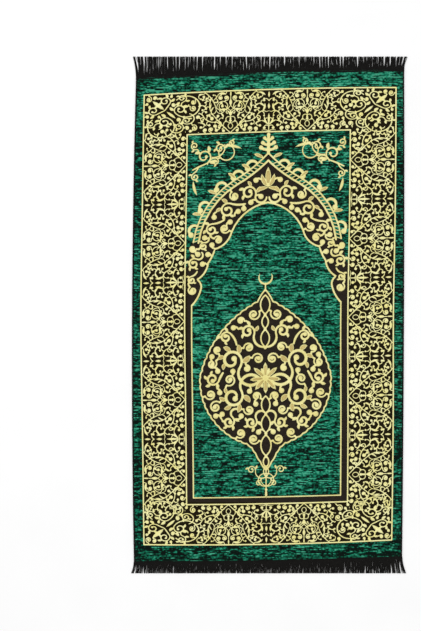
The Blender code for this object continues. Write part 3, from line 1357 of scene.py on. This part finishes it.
# %% Crescent and pendant
PENDANT_SCROLLS = """
name    x    y radius start hand fromx fromy leaves
wide   34 -216 9.5     190  -1     4  -206   2
low    17 -247 7       160  -1     2  -226   1
"""
MEDAL_HALF += scrollwork(PENDANT_SCROLLS, [], width=3.6)
MEDAL_HALF += inked(between(0, 198, 0, 214, 0, 1, 0), 3.0, "line", 6)
MEDAL_HALF += inked(between(0, 214, 13, 238, 120, 1, 0), 5.0, "horn", 0)
MEDAL_HALF += inked(between(0, -214, 0, -262, 0, 1, 0), 2.6, "line", 6)
leaf_at(0, -262, -90, 20, 0, 7.0, MEDAL_HALF, [], "bud")
MEDAL_GOLD = mirrored(MEDAL_HALF)
MEDAL_FILL = mirrored(medal_fills)
print("medallion:", len(MEDAL_GOLD), "cream pieces,", len(MEDAL_FILL), "tan pieces")


# %% [markdown]
# ## The panels under and over the arch
# Green chenille fills the two spandrels over the arch and the niche under it. The niche has a hole for
# the medallion, whose ground is the dark cloth itself, so no yarn lies under another where the real cloth
# has only one.

# %% Panels under and over the arch
MEDAL_MIDDLE = (AXIS - 2.3, -138.8)
spandrel = [(x, y) for x, y, _ in ARCH_PATH]
inner_side = INNER[2] - AXIS
spandrel += [(181, 163), (177, 150), (183, 125), (inner_side, 112), (inner_side, INNER[3]), (0, INNER[3])]
niche = [(x, y) for x, y, _ in NICHE_PATH] + [(NICHE_HALF, NICHE_FOOT), (0, NICHE_FOOT)]
field_box = (INNER[0] - AXIS, INNER[1], INNER[2] - AXIS, INNER[3])
medal_hole = moved([MEDAL_GROUND], dx=MEDAL_MIDDLE[0] - AXIS, dy=MEDAL_MIDDLE[1])[0]


for name, half, holes in (("green_spandrels", spandrel, []), ("green_niche", niche, [medal_hole])):
    relief(name, GREEN, moved(mirrored([half]), dx=AXIS), GREEN_TOP, GROUND_TOP - 0.2,
           holes=moved(holes, dx=AXIS), lines=moved(netting(field_box), dx=AXIS))

print("niche outline:", len(niche), "points, medallion hole:", len(medal_hole))

# %% [markdown]
# ## Raising the arch
# Each yarn of the arch becomes one piece: cream for the lines, tan a little higher for the middles of the
# leaves, green for the bed of the ladder. A mirror in the axis makes the left half, as the loom did.

# %% The arch
arch_half += ruled(NICHE_HALF, NICHE_PATH[-1][1], NICHE_HALF, NICHE_FOOT, 3.0)
arch_half += ruled(0, NICHE_FOOT, NICHE_HALF, NICHE_FOOT, 2.6)
arch_gold = moved(mirrored(arch_half), dx=AXIS)
arch_tan = moved(mirrored(arch_fills), dx=AXIS)
relief("arch_figure", CREAM, arch_gold, GOLD_ON_GREEN, GROUND_TOP - 0.2)
relief("arch_fillings", TAN, arch_tan, TAN_TOP, GROUND_TOP)
bed = rungs(ARCH_PATH, LADDER / 2, LADDER - 2.0, 4.0, 2.0)
bed = [p for p in bed if min(x for x, _ in p) > 0.5]
relief("ladder_bed", GREEN, moved(mirrored(bed), dx=AXIS), GREEN_TOP, GROUND_TOP - 0.2)
ladder = rungs(ARCH_PATH, LADDER / 2, LADDER - 3.0, 2.2, 9.0)
ladder = [p for p in ladder if min(x for x, _ in p) > 3]
relief("ladder_rungs", CREAM, moved(mirrored(ladder), dx=AXIS), GOLD_ON_GREEN, GREEN_TOP - 0.2)
relief("spandrel_sprays", CREAM, moved(mirrored(spray), dx=AXIS), GOLD_ON_GREEN, GREEN_TOP - 0.2)


# %% [markdown]
# ## Raising the medallion
# The drawing was made round the medallion's own middle. It is moved to its place in the niche and raised
# in two yarns.

# %% Place the medallion
medal_gold = moved(MEDAL_GOLD, *MEDAL_MIDDLE)
medal_fill = moved(MEDAL_FILL, *MEDAL_MIDDLE)
relief("medallion_figure", CREAM, medal_gold, GOLD_ON_GREEN, GROUND_TOP - 0.2)
relief("medallion_fillings", TAN, medal_fill, TAN_TOP, GROUND_TOP)

# %% [markdown]
# ## The overlocked sides
# An overlock stitch wraps the cut edge of the cloth in thread. It is made as one long coil of yarn, pressed
# flat, that runs the whole side: a helix worked out by a loop, and skinned as a tube with few sides.

# %% Overlock
WRAP_PITCH = 1.5
WRAP_STEPS = 8
OVERLOCK_HEIGHT = 2.9


def tube(path, radius, sides, points, faces, flatten=1.0):
    """Adds a closed tube along a path, in millimetres, to two growing lists of points and faces."""
    base = len(points)
    count = len(path)
    for i, p in enumerate(path):
        ahead = Vector(path[min(i + 1, count - 1)]) - Vector(path[max(i - 1, 0)])
        ahead.normalize()
        side = ahead.cross(Vector((0, 0, 1)))
        side = side.normalized() if side.length > 1e-6 else Vector((1, 0, 0))
        up = side.cross(ahead)
        size = radius(i / (count - 1)) if callable(radius) else radius
        for k in range(sides):
            a = 2 * math.pi * k / sides
            points.append(Vector(p) + side * (size * math.cos(a)) + up * (size * flatten * math.sin(a)))
    for i in range(count - 1):
        for k in range(sides):
            a, b = base + i * sides + k, base + i * sides + (k + 1) % sides
            faces.append((a, a + sides, b + sides, b))
    faces.append(tuple(base + k for k in range(sides)))
    faces.append(tuple(base + (count - 1) * sides + k for k in reversed(range(sides))))


def yarn_piece(name, points, faces, node):
    mesh = bpy.data.meshes.new(name)
    mesh.from_pydata([(x * MM, y * MM, z * MM) for x, y, z in points], [], faces)
    mesh.validate()
    mesh.shade_smooth()
    mesh.materials.append(BLACK)
    piece = bpy.data.objects.new(name, mesh)
    bpy.context.scene.collection.objects.link(piece)
    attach(piece, "root")
    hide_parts(node)
    print(name, len(mesh.polygons), "faces")
    return piece


def overlock(side):
    """The coil of one side: across the edge and back, once for each pitch."""
    chance = random.Random(31 + side)
    half_width = (OVERLOCK_WIDTH + 1.2) / 2
    middle = side * (CLOTH_WIDTH / 2 + OVERLOCK_WIDTH + GAP - half_width)
    turns = int(CLOTH_LENGTH / WRAP_PITCH)
    path = []
    for i in range(turns * WRAP_STEPS + 1):
        angle = 2 * math.pi * i / WRAP_STEPS
        y = -CLOTH_LENGTH / 2 + CLOTH_LENGTH * i / (turns * WRAP_STEPS)
        wide = half_width - 0.6 + chance.uniform(-0.1, 0.1)
        x, y = laid(middle + side * wide * math.cos(angle), y)
        z = OVERLOCK_HEIGHT / 2 + (OVERLOCK_HEIGHT / 2 - 0.72) * math.sin(angle) + 0.03
        path.append((x, y, z + lift(x, y) * 0.6))
    points, faces = [], []
    tube(path, 0.72, 5, points, faces)
    return points, faces


for side, name in ((-1, "left"), (1, "right")):
    yarn_piece("overlock_" + name, *overlock(side), "side_overlock_" + name)

# %% [markdown]
# ## The fringe
# The warp of the rug runs on past its last row and hangs out as a fringe. Right against the cloth it is held
# by a few rows of black weft, which make a firm band. Past that the threads are loose, and they cling to each
# other in small locks that lean a little this way and that. Each thread is its own tube.

# %% Fringe
LOCKS = 92
THREADS = 14  # in a lock
TIP_Y = 599.5
THREAD = 0.62  # its radius
BAND_ROWS = {1: 7, -1: 5}  # the top band is broader, and starts on the cloth
ROW_PITCH = 1.5
CLING = {1: (0.80, 1.0, 0.22), -1: (0.96, 1.04, 0.05)}  # how close a lock holds together, and how many part
LEAN = {1: 1.1, -1: 0.6}


def fringe(end):
    chance = random.Random(7 if end > 0 else 8)
    points, faces = [], []
    half = CLOTH_WIDTH / 2 + GAP + OVERLOCK_WIDTH
    start = CLOTH_LENGTH / 2 + GAP
    for row in range(BAND_ROWS[end]):
        y = start + BAND_LENGTH - 0.9 - row * ROW_PITCH
        rise = 1.6 if y < start else 0.0
        path = []
        for i in range(161):
            x = -half + 2 * half * i / 160
            px, py = laid(x, end * y)
            path.append((px, py, 1.25 + rise + 0.2 * math.sin(i * 1.9 + row)))
        tube(path, 1.05, 5, points, faces, 0.9)
    pitch = 2 * half / LOCKS
    for lock in range(LOCKS):
        middle = -half + (lock + 0.5) * pitch
        edge = abs(middle) / half
        splay = 9.0 * max(0.0, edge - 0.93) / 0.07 * (1 if middle > 0 else -1)
        lean = chance.gauss(0.0, LEAN[end]) + splay
        low, high, parted = CLING[end]
        cling = chance.uniform(low, high) - (chance.uniform(0.1, 0.3) if chance.random() < parted else 0.0)
        for thread in range(THREADS):
            share = (thread + 0.5) / THREADS - 0.5
            root_x = middle + share * pitch * 0.98
            stray = chance.random() < 0.05
            drift = lean + chance.gauss(0.0, 2.6 if stray else 0.5)
            rx, ry = laid(root_x, end * (start + 2.0))
            gather = share * pitch * 0.98 * (cling - 1)
            tip = end * (TIP_Y - abs(chance.gauss(0.0, 0.9 if end > 0 else 0.3)))
            wave, phase = chance.uniform(0.1, 0.45), chance.uniform(0, 6.28)
            height = chance.uniform(0.45, 1.5)
            path = []
            for i in range(9):
                s = i / 8
                x = rx + gather * math.sin(min(1.0, s * 1.6) * math.pi / 2) + drift * s ** 1.5
                x += wave * math.sin(phase + s * 7)
                z = 1.2 * (1 - s) ** 2 + height * (1 - (1 - s) ** 2) + 0.2 * math.sin(phase * 2 + s * 9)
                path.append((x, ry + (tip - ry) * s, max(z, THREAD + 0.02)))
            tube(path, lambda s: THREAD * (1 - 0.25 * s), 5, points, faces)
    return points, faces


for end, name in ((1, "top"), (-1, "bottom")):
    yarn_piece("fringe_yarn_" + name, *fringe(end), "fringe_" + name)
